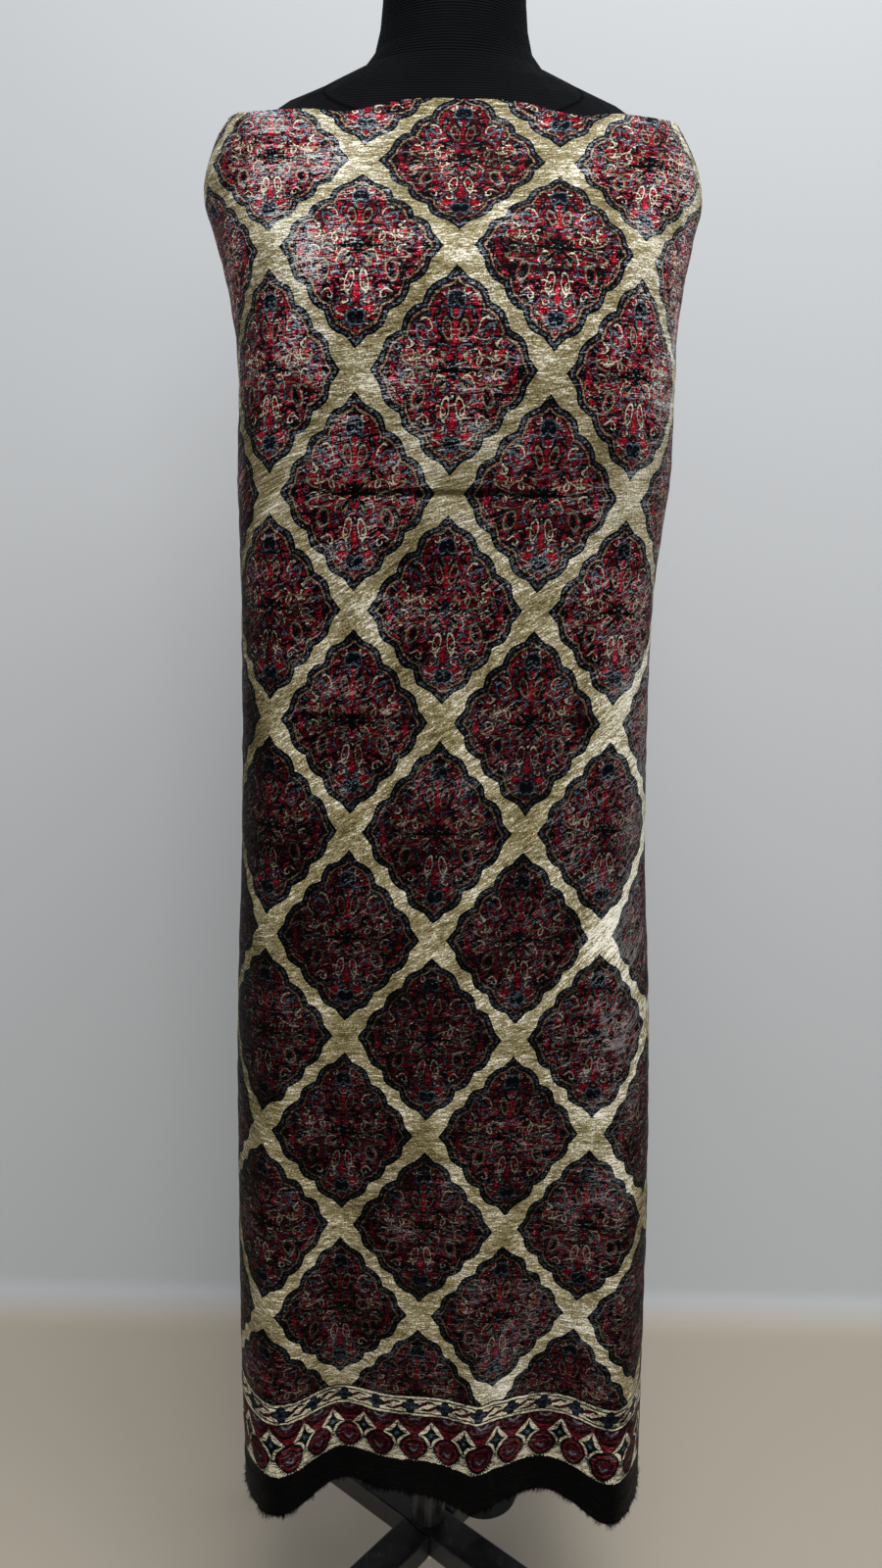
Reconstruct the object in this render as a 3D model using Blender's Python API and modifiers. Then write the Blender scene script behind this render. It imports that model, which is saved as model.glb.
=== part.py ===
"""A length of printed velvet wrapped round a plain black dress form on a cross-legged stand.

The velvet is one rectangular sheet. It is laid round the form with its middle at the front, and
its two cut ends lie over each other down the middle of the back. It is drawn in over the
shoulders, lies on the bust and the hips, and hangs free below them in folds that deepen towards
the hem. Units are metres, +Z is up, and the viewer stands on the -Y side. The origin is on the
floor, under the pole.
"""

import math
from typing import NamedTuple

import bmesh
import bpy
import numpy as np
from mathutils import Matrix, Vector

# The cloth.
CLOTH_WIDTH = 1.240  # length of the cut piece that goes round the form
CLOTH_THICKNESS = 0.002
HEM_HEIGHT = 0.247  # lower edge above the floor
TOP_EDGE_HEIGHT = 1.395  # upper edge above the floor
DIP_START_HEIGHT = 1.325  # above this the rows follow the dips of the upper edge
CLOTH_COLUMNS = 78
CLOTH_ROWS = 34
FRONT_COLUMN_SHARE = 0.65  # spacing of the columns at the front, against an even spacing
ROW_CROWDING = 1.5  # above 1, rows are closer together towards the top
LAYER_GAP = 0.0018  # between the two layers where the ends overlap
SEAT_GAP = 0.0008  # between the cloth and the form that it lies on
LAP_RAMP = (60.0, 112.0)  # degrees from the front over which the outer end lifts off

# The dress form.
FORM_BOTTOM_HEIGHT = 0.700
NECK_TOP_HEIGHT = 1.505
FORM_SIDES = 40
NECK_SEAM_SIDE_HEIGHT = 1.441  # the seam round the neck, at the side of the neck
NECK_SEAM_FRONT_HEIGHT = 1.393
NECK_SEAM_FRONT_DEPTH = 0.058
TOUCH_GAP = 0.0003  # between pieces that meet face to face

# The neck cap: a turned disc with a rounded rim.
CAP_RADIUS = 0.050
CAP_HEIGHT = 0.010
CAP_ROUNDING = 0.004

# The stand.
POLE_RADIUS = 0.0125
COLLAR_RADIUS = 0.017
COLLAR_HEIGHT = 0.085
EAR_LENGTH = 0.052  # the clamp's ear, from the side of the collar
EAR_THICKNESS = 0.012
EAR_HEIGHT = 0.026
KNOB_RADIUS = 0.032
KNOB_THICKNESS = 0.013
KNOB_OFFSET = 0.055  # knob centre from the pole's axis, to the viewer's right
KNOB_CENTRE_HEIGHT = 0.166
FLANGE_RADIUS = 0.055
FLANGE_THICKNESS = 0.006
BAR_WIDTH = 0.036
BAR_HEIGHT = 0.025
BAR_TOP_HEIGHT = 0.120
BAR_LENGTH = 0.520  # end to end across the stand
LONG_BAR_ANGLE = -40.0  # degrees from +X; this bar runs from back left to front right
BAR_EDGE = 0.0022
FOOT_RADIUS = 0.013
FOOT_PAD_RADIUS = 0.021
FOOT_PAD_HEIGHT = 0.012
FOOT_INSET = 0.024  # foot centre from the end of its bar
PLUG_RADIUS = 0.008
PLUG_LENGTH = 0.020
ROUND_SIDES = 28


class Section(NamedTuple):
    """One level of a body: how far it reaches from the pole's axis each way."""

    height: float
    left: float
    right: float
    front: float
    back: float
    squareness: float  # 2 is an ellipse, more is boxier


class Crease(NamedTuple):
    """A straight soft ridge or trough on the front, between two places on the cloth."""

    from_across: float
    from_height: float
    to_across: float
    to_height: float
    width: float
    outward: float


class Fold(NamedTuple):
    """A soft fold that runs up from the hem. It is deepest at the hem."""

    across: float  # place across the cloth's face, +X to the viewer's right
    width: float
    outward: float  # how far it stands out at the hem; negative is a hollow
    reach: float  # height above the hem at which a third of it is left


class Dip(NamedTuple):
    """A place along the front where the upper edge hangs lower."""

    across: float
    width: float
    depth: float


# The bare form, from its lower rim to the top of its neck.
FORM_SECTIONS = (
    Section(0.700, 0.140, 0.140, 0.092, 0.096, 2.2),
    Section(0.720, 0.156, 0.156, 0.106, 0.110, 2.2),
    Section(0.800, 0.165, 0.165, 0.112, 0.118, 2.3),
    Section(0.880, 0.159, 0.159, 0.103, 0.106, 2.3),
    Section(0.950, 0.141, 0.141, 0.091, 0.088, 2.2),
    Section(1.000, 0.132, 0.132, 0.087, 0.081, 2.2),
    Section(1.060, 0.136, 0.136, 0.098, 0.084, 2.2),
    Section(1.130, 0.146, 0.146, 0.1215, 0.092, 2.3),
    Section(1.200, 0.153, 0.153, 0.1455, 0.097, 2.4),
    Section(1.245, 0.158, 0.158, 0.1505, 0.099, 2.4),
    Section(1.285, 0.166, 0.166, 0.1420, 0.098, 2.4),
    Section(1.315, 0.178, 0.178, 0.1205, 0.095, 2.3),
    Section(1.335, 0.185, 0.185, 0.105, 0.090, 2.3),
    Section(1.355, 0.184, 0.184, 0.091, 0.084, 2.3),
    Section(1.375, 0.173, 0.173, 0.078, 0.075, 2.2),
    Section(1.392, 0.153, 0.153, 0.067, 0.068, 2.1),
    Section(1.408, 0.129, 0.129, 0.060, 0.061, 2.0),
    Section(1.420, 0.099, 0.099, 0.057, 0.058, 2.0),
    Section(1.432, 0.070, 0.070, 0.055, 0.056, 2.0),
    Section(1.444, 0.060, 0.060, 0.055, 0.055, 2.0),
    Section(1.460, 0.056, 0.056, 0.054, 0.054, 2.0),
    Section(1.480, 0.054, 0.054, 0.053, 0.053, 2.0),
    Section(1.505, 0.053, 0.053, 0.053, 0.053, 2.0),
)

# The inner face of the hanging cloth, before its folds.
HANG_SECTIONS = (
    Section(0.247, 0.168, 0.191, 0.113, 0.116, 6.5),
    Section(0.370, 0.170, 0.188, 0.126, 0.118, 5.2),
    Section(0.520, 0.172, 0.187, 0.130, 0.120, 4.0),
    Section(0.700, 0.172, 0.181, 0.122, 0.122, 3.2),
    Section(0.820, 0.168, 0.173, 0.116, 0.121, 2.8),
    Section(0.960, 0.165, 0.168, 0.103, 0.110, 2.8),
    Section(1.060, 0.164, 0.168, 0.110, 0.104, 2.8),
    Section(1.140, 0.164, 0.175, 0.128, 0.104, 2.7),
    Section(1.200, 0.161, 0.174, 0.146, 0.105, 2.6),
    Section(1.245, 0.164, 0.174, 0.150, 0.106, 2.5),
    Section(1.285, 0.172, 0.178, 0.142, 0.105, 2.5),
    Section(1.315, 0.181, 0.184, 0.122, 0.101, 2.4),
    Section(1.340, 0.188, 0.189, 0.104, 0.096, 2.4),
    Section(1.362, 0.185, 0.186, 0.090, 0.089, 2.4),
    Section(1.380, 0.178, 0.178, 0.078, 0.080, 2.5),
    Section(1.395, 0.168, 0.168, 0.068, 0.072, 2.6),
)

FRONT_FOLDS = (
    Fold(-0.134, 0.030, 0.025, 0.42),
    Fold(-0.078, 0.030, -0.025, 0.26),
    Fold(-0.028, 0.040, -0.009, 0.12),
    Fold(0.039, 0.021, 0.013, 0.24),
    Fold(0.100, 0.030, -0.016, 0.26),
    Fold(0.160, 0.026, 0.030, 0.34),
)
FRONT_CREASES = (
    Crease(-0.176, 1.352, -0.128, 1.372, 0.011, 0.0040),
    Crease(-0.186, 1.318, -0.120, 1.338, 0.012, -0.0030),
    Crease(0.120, 1.371, 0.180, 1.345, 0.011, 0.0045),
    Crease(0.128, 1.330, 0.176, 1.290, 0.012, -0.0035),
    Crease(-0.162, 1.240, -0.150, 1.120, 0.014, 0.0035),
    Crease(0.160, 1.220, 0.154, 1.060, 0.014, 0.0040),
    Crease(0.156, 0.860, 0.166, 0.560, 0.013, -0.0060),
    Crease(-0.106, 1.128, 0.118, 1.124, 0.016, -0.0022),
    Crease(-0.120, 1.010, -0.010, 0.930, 0.022, 0.0026),
    Crease(0.020, 0.965, 0.120, 0.890, 0.024, -0.0026),
)
EDGE_DIPS = (
    Dip(-0.125, 0.035, 0.0065),
    Dip(-0.072, 0.028, 0.0100),
    Dip(0.084, 0.028, 0.0095),
    Dip(0.135, 0.035, 0.0045),
)
BACK_FOLDS = (
    Fold(-0.115, 0.034, 0.012, 0.36),
    Fold(-0.062, 0.028, -0.012, 0.30),
    Fold(0.076, 0.030, -0.013, 0.28),
    Fold(0.128, 0.032, 0.012, 0.36),
)


def clear_scene():
    """Removes what a new Blender file holds."""
    for thing in list(bpy.data.objects):
        bpy.data.objects.remove(thing, do_unlink=True)


def make_material(name, colour, roughness, metallic=0.0):
    """A plain Principled material."""
    material = bpy.data.materials.new(name)
    material.use_nodes = True
    shader = material.node_tree.nodes["Principled BSDF"]
    shader.inputs["Base Color"].default_value = (*colour, 1.0)
    shader.inputs["Roughness"].default_value = roughness
    shader.inputs["Metallic"].default_value = metallic
    return material


def add_object(name, mesh, material, collection):
    """Links a mesh to the collection as a named object with one material."""
    mesh.materials.append(material)
    thing = bpy.data.objects.new(name, mesh)
    collection.objects.link(thing)
    return thing


def section_at(sections, height):
    """The section at any height, on a smooth curve through the rows of the table."""
    rows = np.array(sections)
    heights = rows[:, 0]
    slopes = np.gradient(rows, heights, axis=0)
    height = min(max(height, heights[0]), heights[-1])
    lower = min(int(np.searchsorted(heights, height, side="right")) - 1, len(heights) - 2)
    step = heights[lower + 1] - heights[lower]
    t = (height - heights[lower]) / step
    blend = (
        (2 * t**3 - 3 * t**2 + 1) * rows[lower]
        + (t**3 - 2 * t**2 + t) * step * slopes[lower]
        + (3 * t**2 - 2 * t**3) * rows[lower + 1]
        + (t**3 - t**2) * step * slopes[lower + 1]
    )
    return Section(*blend)


def reach_towards(section, sideways, forwards):
    """Distance from the axis to the section's edge, in the direction (sideways, forwards)."""
    length = math.hypot(sideways, forwards)
    side = section.right if sideways > 0 else section.left
    depth = section.front if forwards > 0 else section.back
    power = section.squareness
    share = abs(sideways / length / side) ** power + abs(forwards / length / depth) ** power
    return share ** (-1.0 / power)


def smooth_step(value, start, end):
    """0 before start, 1 after end, and a soft ramp between them."""
    t = min(max((value - start) / (end - start), 0.0), 1.0)
    return t * t * (3 - 2 * t)


def fold_depth(folds, across, above_hem):
    """How far the folds push the cloth outwards at a place across it and a height above the hem."""
    return sum(
        fold.outward
        * math.exp(-(((across - fold.across) / fold.width) ** 2))
        * math.exp(-above_hem / fold.reach)
        for fold in folds
    )


def crease_depth(across, height):
    """How far the creases of the front push the cloth outwards at a place on it."""
    total = 0.0
    for crease in FRONT_CREASES:
        run = crease.to_across - crease.from_across
        rise = crease.to_height - crease.from_height
        share = ((across - crease.from_across) * run + (height - crease.from_height) * rise) / (
            run * run + rise * rise
        )
        share = min(max(share, 0.0), 1.0)
        away = math.hypot(
            across - crease.from_across - share * run, height - crease.from_height - share * rise
        )
        total += crease.outward * math.exp(-((away / crease.width) ** 2))
    return total


def cloth_point(height, degrees):
    """A point of the cloth's inner face, at an angle from the front. Past 180 degrees it laps over."""
    section = section_at(HANG_SECTIONS, height)
    angle = math.radians(degrees)
    sine, cosine = math.sin(angle), math.cos(angle)
    side = section.right if sine > 0 else section.left
    depth = section.front if cosine > 0 else section.back
    power = 2.0 / section.squareness
    across = math.copysign(side * abs(sine) ** power, sine)
    outward = math.copysign(depth * abs(cosine) ** power, cosine)

    facing = smooth_step(abs(cosine), 0.0, 0.35)
    if cosine > 0:
        change = fold_depth(FRONT_FOLDS, across, height - HEM_HEIGHT) + crease_depth(across, height)
        outward += facing * change
    else:
        outward -= facing * fold_depth(BACK_FOLDS, across, height - HEM_HEIGHT)

    reach = math.hypot(across, outward)
    if height > FORM_BOTTOM_HEIGHT:
        form = section_at(FORM_SECTIONS, height)
        reach = max(reach, reach_towards(form, across, outward) + SEAT_GAP)
    lift = smooth_step(degrees, *LAP_RAMP) * (CLOTH_THICKNESS + LAYER_GAP)
    scale = (reach + lift) / math.hypot(across, outward)
    return Vector((across * scale, -outward * scale, height))


def dipped_point(height, degrees):
    """A point of the cloth's inner face, lowered where the upper edge dips at the front."""
    point = cloth_point(height, degrees)
    if point.y > 0:
        return point
    dip = sum(d.depth * math.exp(-(((point.x - d.across) / d.width) ** 2)) for d in EDGE_DIPS)
    share = smooth_step(height, DIP_START_HEIGHT, TOP_EDGE_HEIGHT)
    return cloth_point(height - dip * share, degrees)


def cloth_heights():
    """Heights of the cloth's rows, closer together towards the top."""
    shares = 1 - (1 - np.linspace(0.0, 1.0, CLOTH_ROWS + 1)) ** ROW_CROWDING
    return HEM_HEIGHT + shares * (TOP_EDGE_HEIGHT - HEM_HEIGHT)


def cloth_angles():
    """Angles round the cloth, crowded at the middle of each face, where a boxy section is quick."""
    crowded = np.degrees(np.arcsin(np.linspace(0.0, 1.0, 121) ** 4))
    quarter = np.concatenate([crowded, 90.0 - crowded])
    turns = [quarter + 90.0 * turn for turn in range(-3, 3)]
    return np.unique(np.round(np.concatenate(turns), 9))


def cloth_row(height, offsets, degrees):
    """Points of one row, laid off along the cloth by their distance from its middle."""
    points = np.array([cloth_point(height, d) for d in degrees])
    steps = np.linalg.norm(np.diff(points, axis=0), axis=1)
    along = np.concatenate([[0.0], np.cumsum(steps)])
    along -= np.interp(0.0, degrees, along)
    return [dipped_point(height, d) for d in np.interp(offsets, along, degrees)]


def make_cloth(material, collection):
    """The velvet: a grid laid on its hanging shape and thickened outwards."""
    even = np.linspace(-1.0, 1.0, CLOTH_COLUMNS + 1)
    crowded = FRONT_COLUMN_SHARE * even + (1 - FRONT_COLUMN_SHARE) * even**3
    offsets = crowded * CLOTH_WIDTH / 2
    degrees = cloth_angles()
    rows = [cloth_row(height, offsets, degrees) for height in cloth_heights()]

    net = bmesh.new()
    bmesh.ops.create_grid(net, x_segments=CLOTH_COLUMNS, y_segments=CLOTH_ROWS, size=1.0)
    for vertex in net.verts:
        column = round((vertex.co.x + 1) / 2 * CLOTH_COLUMNS)
        row = round((vertex.co.y + 1) / 2 * CLOTH_ROWS)
        vertex.co = rows[row][column]
    net.normal_update()
    mesh = bpy.data.meshes.new("velvet_cloth")
    net.to_mesh(mesh)
    net.free()
    mesh.shade_smooth()

    cloth = add_object("velvet_cloth", mesh, material, collection)
    wall = cloth.modifiers.new("thickness", "SOLIDIFY")
    wall.thickness = CLOTH_THICKNESS
    wall.offset = 1.0
    wall.use_even_offset = True
    return cloth


def form_rings():
    """The form's level rings. Under the cloth they lie at the heights of the cloth's rows."""
    covered = [h for h in cloth_heights() if h > FORM_SECTIONS[1].height]
    above = [ring for ring in FORM_SECTIONS if ring.height > TOP_EDGE_HEIGHT + TOUCH_GAP]
    under = [section_at(FORM_SECTIONS, height) for height in covered]
    return [*FORM_SECTIONS[:2], *under, *above]


def form_net():
    """The whole form with its neck, lofted through level rings and closed at both ends."""
    rings = form_rings()
    net = bmesh.new()
    ring = bmesh.ops.create_circle(net, segments=FORM_SIDES, radius=1.0)["verts"]
    for vertex in ring:
        vertex.co = form_point(vertex.co, rings[0])
    edges = list(net.edges)
    first_edges = edges
    for section in rings[1:]:
        grown = bmesh.ops.extrude_edge_only(net, edges=edges)["geom"]
        for vertex in (item for item in grown if isinstance(item, bmesh.types.BMVert)):
            vertex.co = form_point(vertex.co, section)
        edges = [
            item
            for item in grown
            if isinstance(item, bmesh.types.BMEdge)
            and all(abs(end.co.z - section.height) < TOUCH_GAP for end in item.verts)
        ]
    bmesh.ops.edgeloop_fill(net, edges=first_edges)
    bmesh.ops.edgeloop_fill(net, edges=edges)
    bmesh.ops.recalc_face_normals(net, faces=net.faces)
    return net


def form_point(direction, section):
    """The point of a section that lies the same way from the axis as direction."""
    sideways, forwards = direction.x, -direction.y
    reach = reach_towards(section, sideways, forwards)
    length = math.hypot(sideways, forwards)
    return Vector((sideways / length * reach, -forwards / length * reach, section.height))


def make_form_pieces(material, collection):
    """The body and the neck, parted along the slanting seam round the neck."""
    rise = NECK_SEAM_SIDE_HEIGHT - NECK_SEAM_FRONT_HEIGHT
    normal = Vector((0.0, -rise, NECK_SEAM_FRONT_DEPTH)).normalized()
    seam = Vector((0.0, 0.0, NECK_SEAM_SIDE_HEIGHT))
    for name, upper in (("form_body", False), ("form_neck", True)):
        net = form_net()
        shift = normal * (TOUCH_GAP / 2 if upper else -TOUCH_GAP / 2)
        bmesh.ops.bisect_plane(
            net,
            geom=[*net.verts, *net.edges, *net.faces],
            dist=1e-6,
            plane_co=seam + shift,
            plane_no=normal,
            clear_inner=upper,
            clear_outer=not upper,
        )
        open_edges = [edge for edge in net.edges if edge.is_boundary]
        bmesh.ops.edgeloop_fill(net, edges=open_edges)
        bmesh.ops.recalc_face_normals(net, faces=net.faces)
        mesh = bpy.data.meshes.new(name)
        net.to_mesh(mesh)
        net.free()
        mesh.shade_smooth()
        mesh.set_sharp_from_angle(angle=math.radians(50))
        add_object(name, mesh, material, collection)


def make_cylinder(name, radius, bottom, top, place, material, collection, rounding=0.0):
    """An upright round piece between two heights, with softened rims if rounding is given."""
    net = bmesh.new()
    bmesh.ops.create_cone(
        net,
        cap_ends=True,
        segments=ROUND_SIDES,
        radius1=radius,
        radius2=radius,
        depth=top - bottom,
        matrix=Matrix.Translation((place[0], place[1], (top + bottom) / 2)),
    )
    mesh = bpy.data.meshes.new(name)
    net.to_mesh(mesh)
    net.free()
    mesh.shade_smooth()
    mesh.set_sharp_from_angle(angle=math.radians(40))
    piece = add_object(name, mesh, material, collection)
    if rounding:
        soften(piece, rounding)
    return piece


def soften(piece, width):
    """Rounds the sharp edges of a piece."""
    bevel = piece.modifiers.new("rounded edges", "BEVEL")
    bevel.width = width
    bevel.segments = 2
    bevel.limit_method = "ANGLE"
    bevel.angle_limit = math.radians(40)


def make_bar(name, length, middle, angle, material, collection):
    """A flat box-section bar with rounded edges, lying level."""
    net = bmesh.new()
    bmesh.ops.create_cube(net, size=1.0)
    bmesh.ops.scale(net, vec=(length, BAR_WIDTH, BAR_HEIGHT), verts=net.verts)
    mesh = bpy.data.meshes.new(name)
    net.to_mesh(mesh)
    net.free()
    bar = add_object(name, mesh, material, collection)
    bar.location = middle
    bar.rotation_euler = (0.0, 0.0, math.radians(angle))
    soften(bar, BAR_EDGE)
    return bar


def polar(distance, degrees, height):
    """A point at a distance from the pole's axis, in a direction from +X."""
    angle = math.radians(degrees)
    return Vector((distance * math.cos(angle), distance * math.sin(angle), height))


def make_stand(steel, rubber, plastic, collection):
    """The crossing bars with their feet, the collar on the crossing, the pole and its flange."""
    bar_middle = BAR_TOP_HEIGHT - BAR_HEIGHT / 2
    bar_bottom = BAR_TOP_HEIGHT - BAR_HEIGHT
    make_bar(
        "leg_bar_long", BAR_LENGTH, polar(0, 0, bar_middle), LONG_BAR_ANGLE, steel, collection
    )
    inner_end = BAR_WIDTH / 2 + TOUCH_GAP
    half_length = BAR_LENGTH / 2 - inner_end
    half_middle = (BAR_LENGTH / 2 + inner_end) / 2
    cross_angles = {"back_right": LONG_BAR_ANGLE + 90, "front_left": LONG_BAR_ANGLE - 90}
    for side, angle in cross_angles.items():
        middle = polar(half_middle, angle, bar_middle)
        make_bar(f"leg_bar_{side}", half_length, middle, angle, steel, collection)

    feet = {
        "front_right": LONG_BAR_ANGLE,
        "back_left": LONG_BAR_ANGLE + 180,
        **cross_angles,
    }
    for side, angle in feet.items():
        place = polar(BAR_LENGTH / 2 - FOOT_INSET, angle, 0.0)
        make_cylinder(
            f"foot_pad_{side}",
            FOOT_PAD_RADIUS,
            0.0,
            FOOT_PAD_HEIGHT,
            place,
            rubber,
            collection,
        )
        make_cylinder(
            f"foot_post_{side}",
            FOOT_RADIUS,
            FOOT_PAD_HEIGHT + TOUCH_GAP,
            bar_bottom - TOUCH_GAP,
            place,
            steel,
            collection,
        )

    collar_bottom = BAR_TOP_HEIGHT + TOUCH_GAP
    collar_top = collar_bottom + COLLAR_HEIGHT
    flange_top = FORM_BOTTOM_HEIGHT - TOUCH_GAP
    flange_bottom = flange_top - FLANGE_THICKNESS
    axis = (0.0, 0.0)
    make_cylinder(
        "pole_collar", COLLAR_RADIUS, collar_bottom, collar_top, axis, steel, collection, BAR_EDGE
    )
    make_cylinder(
        "pole",
        POLE_RADIUS,
        collar_top + TOUCH_GAP,
        flange_bottom - TOUCH_GAP,
        axis,
        steel,
        collection,
    )
    make_cylinder(
        "form_flange", FLANGE_RADIUS, flange_bottom, flange_top, axis, steel, collection
    )
    make_clamp(steel, plastic, collection)
    plug_top = bar_bottom - TOUCH_GAP
    make_cylinder(
        "pole_plug", PLUG_RADIUS, plug_top - PLUG_LENGTH, plug_top, axis, plastic, collection
    )


def make_clamp(steel, plastic, collection):
    """The clamp on the collar: an ear on its right, and a round knob on the front of the ear."""
    net = bmesh.new()
    bmesh.ops.create_cube(net, size=1.0)
    bmesh.ops.scale(net, vec=(EAR_LENGTH, EAR_THICKNESS, EAR_HEIGHT), verts=net.verts)
    start = COLLAR_RADIUS + TOUCH_GAP
    bmesh.ops.translate(net, vec=(start + EAR_LENGTH / 2, 0.0, KNOB_CENTRE_HEIGHT), verts=net.verts)
    mesh = bpy.data.meshes.new("clamp_ear")
    net.to_mesh(mesh)
    net.free()
    soften(add_object("clamp_ear", mesh, steel, collection), BAR_EDGE)

    net = bmesh.new()
    middle = Vector(
        (KNOB_OFFSET, -EAR_THICKNESS / 2 - TOUCH_GAP - KNOB_THICKNESS / 2, KNOB_CENTRE_HEIGHT)
    )
    bmesh.ops.create_cone(
        net,
        cap_ends=True,
        segments=ROUND_SIDES,
        radius1=KNOB_RADIUS,
        radius2=KNOB_RADIUS,
        depth=KNOB_THICKNESS,
        matrix=Matrix.Translation(middle) @ Matrix.Rotation(math.pi / 2, 4, "X"),
    )
    mesh = bpy.data.meshes.new("clamp_knob")
    net.to_mesh(mesh)
    net.free()
    mesh.shade_smooth()
    mesh.set_sharp_from_angle(angle=math.radians(40))
    soften(add_object("clamp_knob", mesh, plastic, collection), BAR_EDGE)


def make_neck_cap(material, collection):
    """The flat disc that closes the neck."""
    bottom = NECK_TOP_HEIGHT + TOUCH_GAP
    make_cylinder(
        "neck_cap",
        CAP_RADIUS,
        bottom,
        bottom + CAP_HEIGHT,
        (0.0, 0.0),
        material,
        collection,
        CAP_ROUNDING,
    )


def main():
    """Builds every piece in one collection."""
    clear_scene()
    collection = bpy.data.collections.new("velvet on dress form")
    bpy.context.scene.collection.children.link(collection)
    velvet = make_material("printed velvet", (0.22, 0.03, 0.03), 0.55)
    jersey = make_material("black jersey", (0.012, 0.012, 0.014), 0.9)
    steel = make_material("black steel", (0.03, 0.03, 0.035), 0.4, 0.6)
    rubber = make_material("black rubber", (0.02, 0.02, 0.02), 0.85)
    plastic = make_material("pale plastic", (0.62, 0.58, 0.48), 0.5)
    make_cloth(velvet, collection)
    make_form_pieces(jersey, collection)
    make_neck_cap(steel, collection)
    make_stand(steel, rubber, plastic, collection)


main()
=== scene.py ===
"""Looks for a length of ajrakh printed velvet on a black dress form and its stand.

The velvet is a fine sheet on the folds of its solid, with a print worked out from the sizes of
its printing blocks. The form, the pole and the legs keep their solids and get their finishes.
"""

from __future__ import annotations

import logging
import math
import random
from dataclasses import dataclass, field
from enum import Enum
from typing import Any, NamedTuple

import bmesh
import bpy
import numpy as np
from mathutils import Matrix, Vector, noise
from mathutils.bvhtree import BVHTree


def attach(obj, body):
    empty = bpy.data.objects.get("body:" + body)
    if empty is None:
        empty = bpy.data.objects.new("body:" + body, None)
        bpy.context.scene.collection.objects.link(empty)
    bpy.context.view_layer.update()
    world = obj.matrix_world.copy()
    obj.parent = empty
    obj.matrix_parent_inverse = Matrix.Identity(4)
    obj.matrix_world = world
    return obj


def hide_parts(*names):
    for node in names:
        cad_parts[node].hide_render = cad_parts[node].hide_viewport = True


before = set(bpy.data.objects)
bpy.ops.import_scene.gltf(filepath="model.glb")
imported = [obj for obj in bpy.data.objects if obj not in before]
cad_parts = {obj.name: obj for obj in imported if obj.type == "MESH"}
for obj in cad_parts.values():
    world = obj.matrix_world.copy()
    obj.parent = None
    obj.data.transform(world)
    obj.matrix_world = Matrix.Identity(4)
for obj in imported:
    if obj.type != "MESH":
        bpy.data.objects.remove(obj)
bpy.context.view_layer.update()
LOG = logging.getLogger("velvet")
Pair = tuple[float, float]
Triple = tuple[float, float, float]
Quad = tuple[float, float, float, float]

BODY = "root"


class Tint(Enum):
    """The colours of the dyes, the cloth and the stand, as sRGB hex; a few are painted light."""

    RED_DEEP = "#5c0a16"
    RED_BRIGHT = "#b3182e"
    RED_BROWN = "#3f0b13"
    NAVY = "#080d16"
    NAVY_SOFT = "#162231"
    BLUE_GREY = "#586a78"
    TEAL = "#2f5a68"
    CREAM = "#cdc5a9"
    CREAM_SHADE = "#8f8466"
    # painted glint of the crushed pile
    PAINTED_GLINT = "#ccd2d4"
    GOLD = "#8f835d"
    # painted highlight of the gold pile
    GOLD_PAINTED_HIGHLIGHT = "#fffbea"
    # painted shade of the gold pile, olive
    GOLD_PAINTED_SHADE = "#463e26"
    BLACK = "#030304"
    BLACK_NAP = "#0b0b0d"
    JERSEY = "#08090b"
    # lighter jersey: random worn tone, and painted rib highlight on the ribbed neck
    JERSEY_LIGHT = "#101114"
    PAINT = "#0a0a0c"
    PAINT_WORN = "#77787a"
    SCUFF = "#2a2a2c"
    RUBBER = "#0c0c0c"
    PLUG = "#c9bfa4"
    WALL = "#c9cccf"
    FLOOR = "#bcb2a2"


def linear(tint: Tint) -> Quad:
    """Turns an sRGB hex colour to the linear values that shaders take.

    Args:
        tint: The colour.

    Returns:
        Red, green, blue and alpha.
    """
    channels = [int(tint.value[i : i + 2], 16) / 255 for i in (1, 3, 5)]
    values = [c / 12.92 if c <= 0.04045 else ((c + 0.055) / 1.055) ** 2.4 for c in channels]
    return (values[0], values[1], values[2], 1.0)


def smooth_step(value: Any, start: float, end: float) -> Any:
    """Rises softly from 0 to 1.

    Args:
        value: A number or an array.
        start: Where it leaves 0.
        end: Where it reaches 1.

    Returns:
        The risen value or values.
    """
    t = np.clip((value - start) / (end - start), 0.0, 1.0)
    return t * t * (3 - 2 * t)


def set_down(
    net: bmesh.types.BMesh, name: str, material: bpy.types.Material, smooth: bool = False
) -> bpy.types.Object:
    """Turns a net of faces into a piece of the scene.

    Args:
        net: The faces, freed here.
        name: The piece's name.
        material: Its finish.
        smooth: Whether its faces are shaded as one surface.

    Returns:
        The piece.
    """
    mesh = bpy.data.meshes.new(name)
    net.to_mesh(mesh)
    net.free()
    if smooth:
        mesh.shade_smooth()
    mesh.materials.append(material)
    piece = bpy.data.objects.new(name, mesh)
    bpy.context.scene.collection.objects.link(piece)
    return piece


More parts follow.
